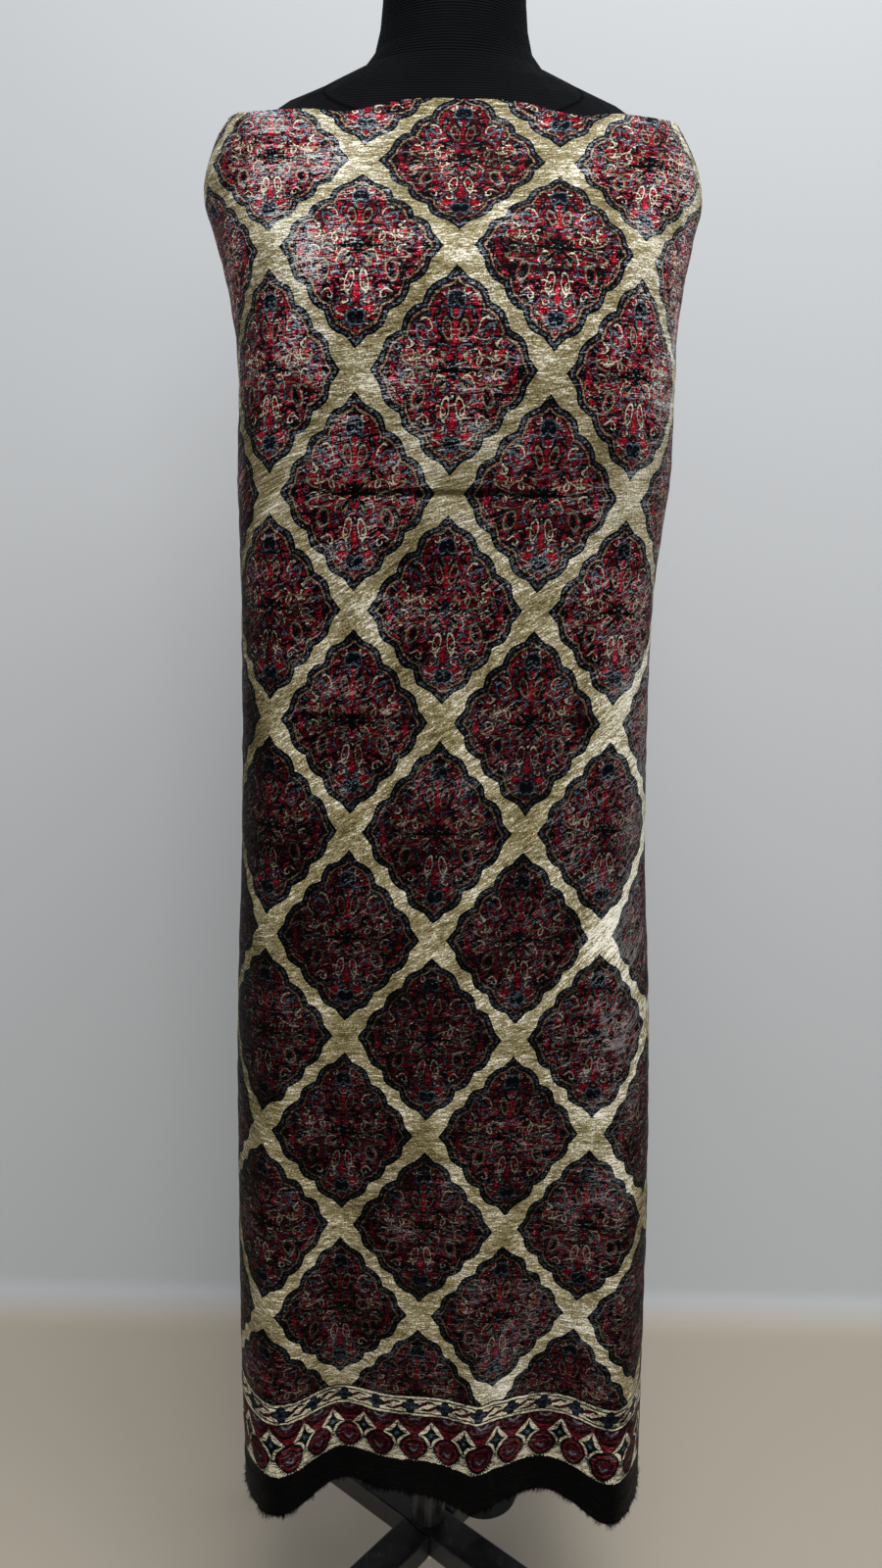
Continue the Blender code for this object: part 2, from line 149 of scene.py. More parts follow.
@dataclass
class NodeDesk:
    """The node tree of one material."""

    material: bpy.types.Material

    @classmethod
    def open(cls, name: str) -> NodeDesk:
        """Makes a material with an empty tree.

        Args:
            name: The finish's name.

        Returns:
            A desk for the new material.
        """
        material = bpy.data.materials.new(name)
        material.use_nodes = True
        material.node_tree.nodes.clear()
        return cls(material)

    def add(self, kind: str, *inputs: Any, out: int | str = 0, **settings: Any) -> Any:
        """Adds one node, sets it and links it.

        Args:
            kind: The node's type without its prefix, with its operation after a dot if it has one.
            inputs: Values or sockets for its inputs in order, with None for one left as it is.
            out: The output wanted.
            settings: Node properties, or input values by their names with underscores.

        Returns:
            The output socket, or the node itself if it has no output.
        """
        name, _, operation = kind.partition(".")
        node = self.material.node_tree.nodes.new("ShaderNode" + name)
        if operation:
            node.operation = operation
        given = list(zip(node.inputs, inputs))
        for key, value in settings.items():
            if hasattr(node, key):
                setattr(node, key, value)
            else:
                given.append((node.inputs[key.replace("_", " ")], value))
        for socket, value in given:
            if isinstance(value, bpy.types.NodeSocket):
                self.material.node_tree.links.new(value, socket)
            elif isinstance(value, Tint):
                socket.default_value = linear(value)
            elif value is not None:
                socket.default_value = value
        return node.outputs[out] if node.outputs else node

    def finish(self, **surface: Any) -> bpy.types.Material:
        """Closes the tree with a Principled shader.

        Args:
            surface: Values or sockets for the shader's inputs.

        Returns:
            The finished material.
        """
        shader = self.add("BsdfPrincipled", **surface)
        self.add("OutputMaterial", shader)
        return self.material


class Section(NamedTuple):
    """One level of the hanging cloth: how far it reaches from the pole's axis each way."""

    height: float
    left: float
    right: float
    front: float
    back: float
    squareness: float


class Fold(NamedTuple):
    """A soft fold that runs up from the hem and fades."""

    across: float
    width: float
    outward: float
    reach: float


class Crease(NamedTuple):
    """A straight soft ridge or trough between two places on the front."""

    from_across: float
    from_height: float
    to_across: float
    to_height: float
    width: float
    outward: float


class Dip(NamedTuple):
    """A place along the front where the upper edge hangs lower."""

    across: float
    width: float
    depth: float


class Drift(NamedTuple):
    """How far the print has been pulled from an even count, at a climb from the hem."""

    climb: float
    shift: float


@dataclass
class HangingVelvet:
    """The printed velvet: one sheet wrapped round the form, its ends lapped behind.

    Its lower edge stops a pile's length above the solid's, because the pile reaches that far.
    """

    length: float = 1.240
    fabric_width: float = 1.15
    hem_height: float = 0.2505
    top_height: float = 1.395
    solid_hem_height: float = 0.247
    thickness: float = 0.0018
    seat_gap: float = 0.0009
    layer_gap: float = 0.0019
    lap_ramp: Pair = (60.0, 112.0)
    form_bottom: float = 0.700
    columns: int = 244
    rows: int = 186
    crowded_angles: int = 181
    crowding: int = 4
    side_fade: float = 0.35
    crush_height: float = 0.0007
    crush_pitch: Triple = (22.0, 95.0, 10.0)
    crush_lean: float = 0.45
    crush_lean_height: float = 0.92
    crush_lean_spread: float = 0.22
    crush_front: float = 0.25
    crush_back: float = 9.0
    front_creases: tuple[Crease, ...] = (
        Crease(-0.176, 1.352, -0.128, 1.372, 0.011, 0.0040),
        Crease(-0.186, 1.318, -0.120, 1.338, 0.012, -0.0030),
        Crease(0.120, 1.371, 0.180, 1.345, 0.011, 0.0045),
        Crease(0.128, 1.330, 0.176, 1.290, 0.012, -0.0035),
        Crease(-0.162, 1.240, -0.150, 1.120, 0.014, 0.0035),
        Crease(0.160, 1.220, 0.154, 1.060, 0.014, 0.0040),
        Crease(0.156, 0.860, 0.166, 0.560, 0.013, -0.0060),
        Crease(-0.106, 1.128, 0.118, 1.124, 0.005, -0.0022),
        Crease(-0.120, 1.010, -0.010, 0.930, 0.022, 0.0026),
        Crease(0.020, 0.965, 0.120, 0.890, 0.024, -0.0026),
        Crease(-0.100, 1.385, -0.040, 1.381, 0.004, 0.0014),
        Crease(0.050, 1.386, 0.110, 1.380, 0.004, 0.0014),
        Crease(0.045, 0.520, 0.038, 0.250, 0.004, 0.0022),
        Crease(0.052, 0.420, 0.058, 0.250, 0.004, -0.0014),
        Crease(-0.060, 1.060, 0.030, 1.020, 0.006, -0.0012),
        Crease(-0.130, 0.940, -0.060, 0.905, 0.006, -0.0012),
        Crease(0.020, 0.870, 0.100, 0.835, 0.006, -0.0012),
    )
    front_folds: tuple[Fold, ...] = (
        Fold(-0.134, 0.030, 0.025, 0.42),
        Fold(-0.078, 0.030, -0.025, 0.26),
        Fold(-0.028, 0.040, -0.009, 0.12),
        Fold(0.039, 0.021, 0.013, 0.24),
        Fold(0.100, 0.030, -0.016, 0.26),
        Fold(0.160, 0.026, 0.030, 0.34),
    )
    back_folds: tuple[Fold, ...] = (
        Fold(-0.115, 0.034, 0.012, 0.36),
        Fold(-0.062, 0.028, -0.012, 0.30),
        Fold(0.076, 0.030, -0.013, 0.28),
        Fold(0.128, 0.032, 0.012, 0.36),
    )
    sections: tuple[Section, ...] = (
        Section(0.247, 0.168, 0.191, 0.113, 0.116, 6.5),
        Section(0.370, 0.170, 0.188, 0.126, 0.118, 5.2),
        Section(0.520, 0.172, 0.187, 0.130, 0.120, 4.0),
        Section(0.700, 0.172, 0.181, 0.122, 0.122, 3.2),
        Section(0.820, 0.168, 0.173, 0.116, 0.121, 2.8),
        Section(0.960, 0.165, 0.168, 0.103, 0.110, 2.8),
        Section(1.060, 0.164, 0.168, 0.110, 0.104, 2.8),
        Section(1.140, 0.164, 0.175, 0.128, 0.104, 2.7),
        Section(1.200, 0.161, 0.174, 0.146, 0.105, 2.6),
        Section(1.245, 0.164, 0.174, 0.150, 0.106, 2.5),
        Section(1.285, 0.172, 0.178, 0.142, 0.105, 2.5),
        Section(1.315, 0.181, 0.184, 0.122, 0.101, 2.4),
        Section(1.340, 0.188, 0.189, 0.104, 0.096, 2.4),
        Section(1.362, 0.185, 0.186, 0.090, 0.089, 2.4),
        Section(1.380, 0.178, 0.178, 0.078, 0.080, 2.5),
        Section(1.395, 0.168, 0.168, 0.068, 0.072, 2.6),
    )
    dip_start: float = 1.325
    edge_dips: tuple[Dip, ...] = (
        Dip(-0.125, 0.035, 0.0065),
        Dip(-0.072, 0.028, 0.0100),
        Dip(0.084, 0.028, 0.0095),
        Dip(0.135, 0.035, 0.0045),
    )
    drifts: tuple[Drift, ...] = (
        Drift(0.000, 0.000),
        Drift(0.550, -0.001),
        Drift(0.790, -0.012),
        Drift(0.960, -0.019),
        Drift(1.045, -0.017),
        Drift(1.120, -0.010),
        Drift(1.180, -0.008),
    )
    hem: list[Vector] = field(default_factory=list)
    top: list[Vector] = field(default_factory=list)

    def section_at(self, height: Any) -> Section:
        """Reads the smooth curve through the section table.

        Args:
            height: Levels above the floor, one or many.

        Returns:
            The section there, with one value or many for each size.
        """
        rows = np.array(self.sections)
        heights = rows[:, 0]
        slopes = np.gradient(rows, heights, axis=0).T
        rows = rows.T
        height = np.clip(height, heights[0], heights[-1])
        lower = np.minimum(np.searchsorted(heights, height, side="right") - 1, len(heights) - 2)
        step = heights[lower + 1] - heights[lower]
        t = (height - heights[lower]) / step
        return Section(
            *(
                (2 * t**3 - 3 * t**2 + 1) * rows[:, lower]
                + (t**3 - 2 * t**2 + t) * step * slopes[:, lower]
                + (3 * t**2 - 2 * t**3) * rows[:, lower + 1]
                + (t**3 - t**2) * step * slopes[:, lower + 1]
            )
        )

    def fold_depth(self, folds: tuple[Fold, ...], across: Any, above_hem: Any) -> Any:
        """Sums how far the folds push the cloth outwards.

        Args:
            folds: The folds of the front or of the back.
            across: Places from the pole's axis.
            above_hem: Their heights above the solid's hem.

        Returns:
            The push at each place.
        """
        total = np.zeros_like(across)
        for fold in folds:
            shape = np.exp(-(((across - fold.across) / fold.width) ** 2))
            total += fold.outward * shape * np.exp(-above_hem / fold.reach)
        return total

    def crease_depth(self, across: Any, height: Any) -> Any:
        """Sums how far the creases of the front push the cloth outwards.

        Args:
            across: Places from the pole's axis.
            height: Their levels above the floor.

        Returns:
            The push at each place.
        """
        total = np.zeros_like(across)
        for crease in self.front_creases:
            run = crease.to_across - crease.from_across
            rise = crease.to_height - crease.from_height
            share = (across - crease.from_across) * run + (height - crease.from_height) * rise
            share = np.clip(share / (run * run + rise * rise), 0.0, 1.0)
            away = np.hypot(
                across - crease.from_across - share * run,
                height - crease.from_height - share * rise,
            )
            total += crease.outward * np.exp(-((away / crease.width) ** 2))
        return total

    def level(self, height: Any, degrees: Any) -> Any:
        """Places points of the inner face.

        Args:
            height: Their level above the floor, one for all or one for each.
            degrees: Angles from the front, past 180 where the ends lap.

        Returns:
            An array of points, one row each.
        """
        height = np.broadcast_to(height, np.shape(degrees))
        section = self.section_at(height)
        angle = np.radians(degrees)
        sine, cosine = np.sin(angle), np.cos(angle)
        side = np.where(sine > 0, section.right, section.left)
        depth = np.where(cosine > 0, section.front, section.back)
        power = 2.0 / section.squareness
        across = np.sign(sine) * side * np.abs(sine) ** power
        outward = np.sign(cosine) * depth * np.abs(cosine) ** power

        facing = smooth_step(np.abs(cosine), 0.0, self.side_fade)
        above = height - self.solid_hem_height
        front = self.fold_depth(self.front_folds, across, above) + self.crease_depth(across, height)
        back = -self.fold_depth(self.back_folds, across, above)
        outward = outward + facing * np.where(cosine > 0, front, back)

        lift = smooth_step(degrees, *self.lap_ramp) * (self.thickness + self.layer_gap)
        scale = 1 + lift / np.hypot(across, outward)
        return np.stack([across * scale, -outward * scale, height], axis=1)

    def dipped(self, height: float, degrees: Any) -> Any:
        """Places points of one row, lowered where the upper edge dips at the front.

        Args:
            height: The row's level above the floor.
            degrees: Angles from the front.

        Returns:
            An array of points.
        """
        flat = self.level(height, degrees)
        share = smooth_step(height, self.dip_start, self.top_height)
        dip = sum(
            low.depth * np.exp(-(((flat[:, 0] - low.across) / low.width) ** 2))
            for low in self.edge_dips
        )
        return self.level(height - np.where(flat[:, 1] < 0, dip * share, 0.0), degrees)

    def rows_of_points(self, tree: BVHTree) -> Any:
        """Lays every row off along the cloth and seats it on the form.

        Args:
            tree: The form's surface.

        Returns:
            Points indexed by row and column.
        """
        offsets = np.linspace(-self.length / 2, self.length / 2, self.columns + 1)
        even = np.linspace(0.0, 1.0, self.crowded_angles)
        crowded = np.degrees(np.arcsin(even**self.crowding))
        quarter = np.concatenate([crowded, 90.0 - crowded])
        dense = np.unique(np.round(np.concatenate([quarter + 90.0 * k for k in range(-3, 3)]), 9))
        made = []
        for height in np.linspace(self.hem_height, self.top_height, self.rows + 1):
            points = self.level(height, dense)
            steps = np.linalg.norm(np.diff(points, axis=0), axis=1)
            along = np.concatenate([[0.0], np.cumsum(steps)])
            along -= np.interp(0.0, dense, along)
            degrees = np.interp(offsets, along, dense)
            row = self.dipped(height, degrees)
            if height > self.form_bottom:
                lift = smooth_step(degrees, *self.lap_ramp) * (self.thickness + self.layer_gap)
                for index, point in enumerate(row):
                    reach = math.hypot(point[0], point[1])
                    away = Vector((point[0] / reach, point[1] / reach, 0.0))
                    hit = tree.ray_cast(Vector((0.0, 0.0, point[2])), away)
                    if hit[0] is not None:
                        least = hit[3] + self.seat_gap + lift[index]
                        if reach < least:
                            row[index][:2] *= least / reach
            made.append(row)
        return np.array(made)

    def crush(self, points: Any) -> Any:
        """Adds the low relief of crushed pile and handled cloth, outwards only.

        Args:
            points: The sheet's points by row and column.

        Returns:
            The points with their relief.
        """
        wide, high, deep = self.crush_pitch
        for row in points:
            for point in row:
                across, height = point[0], point[2]
                off = (height - self.crush_lean_height) / self.crush_lean_spread
                lean = self.crush_lean * math.exp(-(off**2))
                layer = self.crush_front if point[1] < 0 else self.crush_back
                place = Vector((across, height, layer))
                turned = Vector((place.x * wide, (place.y + lean * place.x) * high, place.z * deep))
                wave = noise.noise(turned) + 0.5 * noise.noise(turned * 2.1)
                away = Vector((point[0], point[1], 0.0)).normalized()
                push = self.crush_height * max(0.0, 0.5 + wave)
                point[0] += away.x * push
                point[1] += away.y * push
        return points

    def build(self, material: bpy.types.Material) -> bpy.types.Object:
        """Makes the sheet with its own map in metres.

        Args:
            material: The velvet's finish.

        Returns:
            The cloth.
        """
        form = bmesh.new()
        for name in ("form_body", "form_neck"):
            form.from_mesh(bpy.data.objects[name].data)
        tree = BVHTree.FromBMesh(form)
        form.free()
        points = self.crush(self.rows_of_points(tree))
        climbs = np.linalg.norm(np.diff(points, axis=0), axis=2)
        climb = np.concatenate([np.zeros((1, self.columns + 1)), np.cumsum(climbs, axis=0)])
        climb += np.interp(climb, *np.array(self.drifts).T)
        offsets = np.linspace(-self.length / 2, self.length / 2, self.columns + 1)

        net = bmesh.new()
        bmesh.ops.create_grid(net, x_segments=self.columns, y_segments=self.rows, size=1.0)
        layer = net.loops.layers.uv.new("cloth_metres")
        for vertex in net.verts:
            column = round((vertex.co.x + 1) / 2 * self.columns)
            row = round((vertex.co.y + 1) / 2 * self.rows)
            vertex.co = points[row][column]
            for loop in vertex.link_loops:
                loop[layer].uv = (offsets[column], climb[row][column])
        cloth = set_down(net, "ajrakh_velvet", material, smooth=True)
        wall = cloth.modifiers.new("thickness", "SOLIDIFY")
        wall.thickness = self.thickness
        wall.offset = 1.0
        self.hem = [Vector(point) for point in points[0]]
        self.top = [Vector(point) for point in points[-1]]
        return cloth


class Stamp(NamedTuple):
    """One printed shape of the block: an ellipse, or its outline if it has a line width.

    Places and sizes are in millimetres from the block's middle, and the turn is in degrees.
    """

    across: float
    up: float
    half_width: float
    half_height: float
    turn: float
    line: float
    dye: Tint


class PaintedGleam(NamedTuple):
    """A patch of painted highlight, or of painted shade where its strength is negative."""

    across: float
    up: float
    half_width: float
    half_height: float
    strength: float


class Scroll(NamedTuple):
    """One layer of curling vines: the spacing of the curls, of their turns, and the line."""

    spacing: float
    pitch: float
    line: float
    offset: float


class Ramp(NamedTuple):
    """One range of values turned to another, held at its ends."""

    start: float
    end: float
    low: float
    high: float


@dataclass(frozen=True)
class AjrakhPrint:
    """Crushed velvet, block printed: scalloped medallions in a brassy lattice, over a border.

    Every size is in millimetres on the cloth. The pile is crushed in short streaks, and its flash
    and near-black shade are painted into the colour as painted highlight and painted shade.
    """

    desk: NodeDesk = field(
        default_factory=lambda: NodeDesk.open("crushed_velvet_ajrakh_printed")
    )
    block_width: float = 136.0
    block_height: float = 165.0
    half_width: float = 58.0
    half_height: float = 69.0
    lobe: float = 22.0
    lobe_rise: float = 3.6
    lobe_start: float = 12.0
    middle_bulge: float = 1.4
    lean: float = 0.020
    lean_start: float = 15.0
    wobble: float = 2.4
    wobble_scale: float = 0.11
    bend: float = 7.0
    bend_scale: float = 0.09
    black_from: float = 0.57
    pale_from: float = 0.46
    cream_from: float = 0.66
    curl_ragged: float = 0.30
    curl_shadow: float = 2.0
    edge_ragged: float = 4.0
    edge_speck: Ramp = Ramp(0.46, 0.60, 0.0, 1.0)
    black_top: float = 39.5
    black_ragged: float = 5.0
    chain_top: float = 118.0
    border_pitch: float = 30.22
    red_level: float = 73.0
    star_level: float = 74.0
    star_kite: Pair = (9.5, 13.0)
    star_arms: Pair = (7.0, 10.0)
    star_pip: Pair = (1.9, 2.2)
    festoon_level: float = 96.0
    festoon_half: Pair = (13.6, 14.5)
    palmette_level: float = 58.2
    palmette_half: Pair = (12.2, 14.6)
    pinch_level: float = 58.0
    pinch_rate: float = 0.022
    teeth: float = 40.0
    teeth_top: float = 63.0
    stroke_level: float = 53.5
    stroke_slope: float = 1.15
    stroke_width: float = 1.7
    stroke_reach: float = 4.8
    vine_level: float = 106.6
    vine_shift: float = 4.0
    petal_least: float = 5.0
    petal_more: float = 3.2
    nap_relief: float = 0.0016
    nap_streak: Triple = (0.055, 0.30, 1.0)
    nap_pivot: Triple = (0.0, 500.0, 0.0)
    nap_rise: Ramp = Ramp(380.0, 560.0, 0.0, -0.5)
    nap_fall: Ramp = Ramp(820.0, 940.0, 0.0, 0.42)
    nap_dullness: Ramp = Ramp(0.40, 0.62, 0.66, 0.36)
    # fine grain of the painted sheen and painted shade
    grain_scale: float = 0.75
    grain_share: float = 0.42
    # random broad patches of painted light and painted shade
    painted_light_cloud_scale: float = 0.024
    painted_light_cloud_share: float = 0.34
    painted_gleam_reach: float = 1.6
    # painted shade: the medallions darker towards the hem
    painted_height_shade: Ramp = Ramp(560.0, 1060.0, 0.25, 1.05)
    # painted sheen and painted shade of the crushed pile, multiplied into the print
    painted_nap_shade: Ramp = Ramp(0.42, 0.58, 0.10, 1.45)
    # painted glints where the pile flashes
    painted_glint_share: Ramp = Ramp(0.59, 0.68, 0.0, 0.9)
    # painted shade and painted highlight of the bare gold lattice
    gold_painted_shade_share: Ramp = Ramp(0.36, 0.48, 0.0, 1.0)
    gold_painted_highlight_share: Ramp = Ramp(0.52, 0.66, 0.0, 1.0)
    scrolls: tuple[Scroll, ...] = (
        Scroll(15.5, 7.4, 0.62, 0.0),
        Scroll(10.5, 6.4, 0.50, 40.0),
    )
    # patches of painted highlight and painted shade; the thin ones paint shade along creases
    painted_gleams: tuple[PaintedGleam, ...] = (
        PaintedGleam(-120.0, 1080.0, 70.0, 130.0, 0.060),
        PaintedGleam(-60.0, 900.0, 90.0, 60.0, 0.020),
        PaintedGleam(190.0, 1000.0, 50.0, 160.0, 0.060),
        PaintedGleam(165.0, 640.0, 40.0, 200.0, 0.090),
        PaintedGleam(160.0, 420.0, 50.0, 190.0, 0.060),
        PaintedGleam(70.0, 160.0, 40.0, 90.0, 0.050),
        PaintedGleam(0.0, 1110.0, 60.0, 70.0, -0.030),
        PaintedGleam(-60.0, 420.0, 90.0, 230.0, -0.035),
        PaintedGleam(-175.0, 640.0, 45.0, 420.0, -0.090),
        PaintedGleam(190.0, 300.0, 30.0, 160.0, -0.050),
        PaintedGleam(0.0, 862.0, 80.0, 2.6, -0.240),
        PaintedGleam(-70.0, 700.0, 60.0, 2.0, -0.120),
        PaintedGleam(60.0, 640.0, 50.0, 2.0, -0.120),
        PaintedGleam(30.0, 1010.0, 60.0, 2.0, -0.080),
    )
    stamps: tuple[Stamp, ...] = (
        Stamp(0.0, -30.0, 1.6, 7.0, 0.0, 0.0, Tint.RED_BRIGHT),
        Stamp(0.0, 24.0, 1.4, 7.0, 0.0, 0.0, Tint.RED_BRIGHT),
        Stamp(5.4, -24.0, 2.8, 7.0, 10.0, 0.6, Tint.CREAM),
        Stamp(5.4, 27.0, 2.8, 7.0, -12.0, 0.6, Tint.CREAM_SHADE),
        Stamp(19.0, 5.0, 17.0, 4.2, 12.0, 0.6, Tint.CREAM_SHADE),
        Stamp(19.0, -4.4, 17.0, 3.8, -10.0, 0.6, Tint.CREAM_SHADE),
        Stamp(24.0, -17.0, 4.0, 6.5, 20.0, 0.7, Tint.CREAM_SHADE),
        Stamp(22.0, 24.0, 3.6, 6.5, -25.0, 0.7, Tint.BLUE_GREY),
        Stamp(1.5, 46.0, 4.2, 6.6, 0.0, 0.0, Tint.NAVY),
        Stamp(2.6, 47.0, 3.4, 5.6, 20.0, 0.6, Tint.BLUE_GREY),
        Stamp(1.5, -48.0, 4.6, 6.0, 0.0, 0.0, Tint.NAVY),
        Stamp(2.8, -48.0, 3.6, 5.0, -20.0, 0.6, Tint.BLUE_GREY),
        Stamp(0.0, 0.0, 3.0, 6.6, 0.0, 0.0, Tint.NAVY),
        Stamp(7.0, 0.0, 11.0, 1.5, 0.0, 0.0, Tint.BLACK),
        Stamp(5.5, 6.0, 1.2, 6.0, -42.0, 0.0, Tint.BLACK),
        Stamp(5.5, -6.0, 1.2, 6.0, 42.0, 0.0, Tint.BLACK),
        Stamp(7.6, -11.0, 2.6, 1.4, -35.0, 0.0, Tint.CREAM_SHADE),
        Stamp(7.6, 10.0, 1.4, 2.6, -20.0, 0.0, Tint.CREAM_SHADE),
    )

    def make(self) -> bpy.types.Material:
        """Builds the finish.

        Returns:
            The velvet's material.
        """
        add = self.desk.add
        metres = add("UVMap", uv_map="cloth_metres")
        place = add("VectorMath.SCALE", metres, Scale=1000.0)
        shake = add("TexNoise", place, Scale=self.wobble_scale, Detail=1.0, out="Color")
        shift = add("VectorMath.MULTIPLY_ADD", shake, (self.wobble,) * 3, (-self.wobble / 2,) * 3)
        printed = add("VectorMath.ADD", place, shift)
        parts = add("SeparateXYZ", printed).node.outputs
        up = parts[1]
        lean = add("Math.MULTIPLY_ADD", up, -self.lean, self.lean_start)
        across = add("Math.ADD", parts[0], lean)

        nap = self.crushed_nap(place)
        # painted light and shade: the crushed streaks, random patches and placed patches
        lit = self.painted_light_patches(place, nap)
        medallions, inset = self.medallions(across, up)
        # painted shade: the medallions darkened towards the hem
        depth = add("MapRange", up, *self.painted_height_shade, interpolation_type="SMOOTHSTEP")
        medallions = add("VectorMath.SCALE", medallions, Scale=depth)
        border = self.border(across, up)
        in_border = add("Math.LESS_THAN", up, self.chain_top)
        dyed = add("MixRGB", in_border, medallions, border)
        # painted sheen and painted shade of the crushed pile, multiplied into the print on a fine
        # grain
        grain = add("TexNoise", place, Scale=self.grain_scale, Detail=1.0, Roughness=0.6)
        centred = add("Math.SUBTRACT", grain, 0.5)
        turned = add("Math.MULTIPLY_ADD", centred, self.grain_share, lit)
        shade = add("MapRange", turned, *self.painted_nap_shade)
        dyed = add("VectorMath.SCALE", dyed, Scale=shade)
        # painted glints on the print, fewer towards the hem
        painted_glint = add("MapRange", turned, *self.painted_glint_share)
        dyed = add("MixRGB", add("Math.MULTIPLY", painted_glint, depth), dyed, Tint.PAINTED_GLINT)

        outside = add("Math.LESS_THAN", inset, 0.0)
        above = add("Math.GREATER_THAN", up, self.chain_top)
        bare = add("Math.MULTIPLY", outside, above)
        # the bare gold lattice, with its painted highlight and painted shade
        colour = add("MixRGB", bare, dyed, self.bare_velvet(turned))
        colour = self.black_edge(place, up, colour)

        rough = add("MapRange", nap, *self.nap_dullness)
        bump = add("Bump", Strength=1.0, Distance=self.nap_relief, Height=nap)
        return self.desk.finish(
            Base_Color=colour,
            Roughness=rough,
            Normal=bump,
            Specular_IOR_Level=0.03,
        )

    def paint(self, colour: Any, layers: list[tuple[Any, float, Any]]) -> Any:
        """Lays dyes on in turn, each one where its value is under its limit.

        Args:
            colour: What lies under them.
            layers: Each layer's value, limit and dye.

        Returns:
            The colour with all of them.
        """
        for value, limit, dye in layers:
            mask = self.desk.add("Math.LESS_THAN", value, limit)
            colour = self.desk.add("MixRGB", mask, colour, dye)
        return colour

    def reach(self, place: Any, middle: Pair, halves: Pair, turn: float = 0.0) -> Any:
        """Measures how far places lie from the middle of a shape, 1 on its outline.

        Args:
            place: Millimetres on the cloth or in a block.
            middle: The shape's middle.
            halves: Half its width and half its height.
            turn: Its turn in degrees.

        Returns:
            The distance.
        """
        local = self.desk.add(
            "Mapping",
            place,
            (*middle, 0.0),
            (0.0, 0.0, math.radians(turn)),
            (*halves, 1.0),
            vector_type="TEXTURE",
        )
        return self.desk.add("VectorMath.LENGTH", local, out="Value")

    def crushed_nap(self, place: Any) -> Any:
        """Streaks of flattened pile: level on the chest and low down, slanting between.

        Args:
            place: Millimetres on the cloth.

        Returns:
            A height, about a half on the whole.
        """
        add = self.desk.add
        up = add("SeparateXYZ", place, out=1)
        rise = add("MapRange", up, *self.nap_rise, interpolation_type="SMOOTHSTEP")
        fall = add("MapRange", up, *self.nap_fall, interpolation_type="SMOOTHSTEP")
        angle = add("Math.ADD", rise, fall)
        turned = add("VectorRotate", place, self.nap_pivot, (0.0, 0.0, 1.0), angle)
        drawn = add("VectorMath.MULTIPLY", turned, self.nap_streak)
        long = add("TexNoise", drawn, Scale=1.0, Detail=3.0, Roughness=0.65, Distortion=0.6)
        fine = add("TexNoise", drawn, Scale=3.6, Detail=2.0, Roughness=0.6, Distortion=0.4)
        return add("Math.MULTIPLY_ADD", fine, 0.55, add("Math.MULTIPLY", long, 0.45))

    def painted_light_patches(self, place: Any, nap: Any) -> Any:
        """Adds broad patches of painted light and painted shade to the short streaks.

        Args:
            place: Millimetres on the cloth.
            nap: The height of the crushed pile.

        Returns:
            The painted light and shade at each place, from the streaks and the patches.
        """
        add = self.desk.add
        # random broad patches of painted light and painted shade
        cloud = add("TexNoise", place, Scale=self.painted_light_cloud_scale, Detail=3.0)
        level = add("Math.SUBTRACT", nap, self.painted_light_cloud_share / 2)
        lit = add("Math.MULTIPLY_ADD", cloud, self.painted_light_cloud_share, level)
        # each patch paints highlight, or shade where its strength is negative
        for painted_gleam in self.painted_gleams:
            halves = (painted_gleam.half_width, painted_gleam.half_height)
            away = self.reach(place, (painted_gleam.across, painted_gleam.up), halves)
            fade = Ramp(0.0, self.painted_gleam_reach, painted_gleam.strength, 0.0)
            part = add("MapRange", away, *fade, interpolation_type="SMOOTHSTEP")
            lit = add("Math.ADD", lit, part)
        return lit

    def bare_velvet(self, lit: Any) -> Any:
        """The bare brassy lattice: olive painted shade up to near-white painted highlight.

        Args:
            lit: The painted light and shade at each place.

        Returns:
            Its colour.
        """
        add = self.desk.add
        # painted shade towards olive, painted highlight towards near white
        low = add("MapRange", lit, *self.gold_painted_shade_share)
        high = add("MapRange", lit, *self.gold_painted_highlight_share)
        colour = add("MixRGB", low, Tint.GOLD_PAINTED_SHADE, Tint.GOLD)
        return add("MixRGB", high, colour, Tint.GOLD_PAINTED_HIGHLIGHT)

    def medallions(self, across: Any, up: Any) -> Any:
        """The half-drop field of scalloped medallions.

        Args:
            across: Millimetres from the middle column.
            up: Millimetres above the hem.

        Returns:
            Their colour, and the distance inside a medallion's edge.
        """
        add = self.desk.add
        wide, high = self.block_width / 2, self.block_height / 2
        above = add("Math.SUBTRACT", up, self.chain_top)
        column = add("Math.PINGPONG", across, wide)
        row = add("Math.PINGPONG", above, high)
        share = add("Math.MULTIPLY_ADD", row, 1 / high, add("Math.MULTIPLY", column, 1 / wide))
        other = add("Math.GREATER_THAN", share, 1.0)
        side = add("Math.ABSOLUTE", add("Math.MULTIPLY_ADD", other, -wide, column))
        level = add("Math.WRAP", above, high, -high)
        dropped = add("Math.WRAP", add("Math.SUBTRACT", above, high), high, -high)
        signed = add("Math.MULTIPLY_ADD", other, add("Math.SUBTRACT", dropped, level), level)
        tall = add("Math.ABSOLUTE", signed)

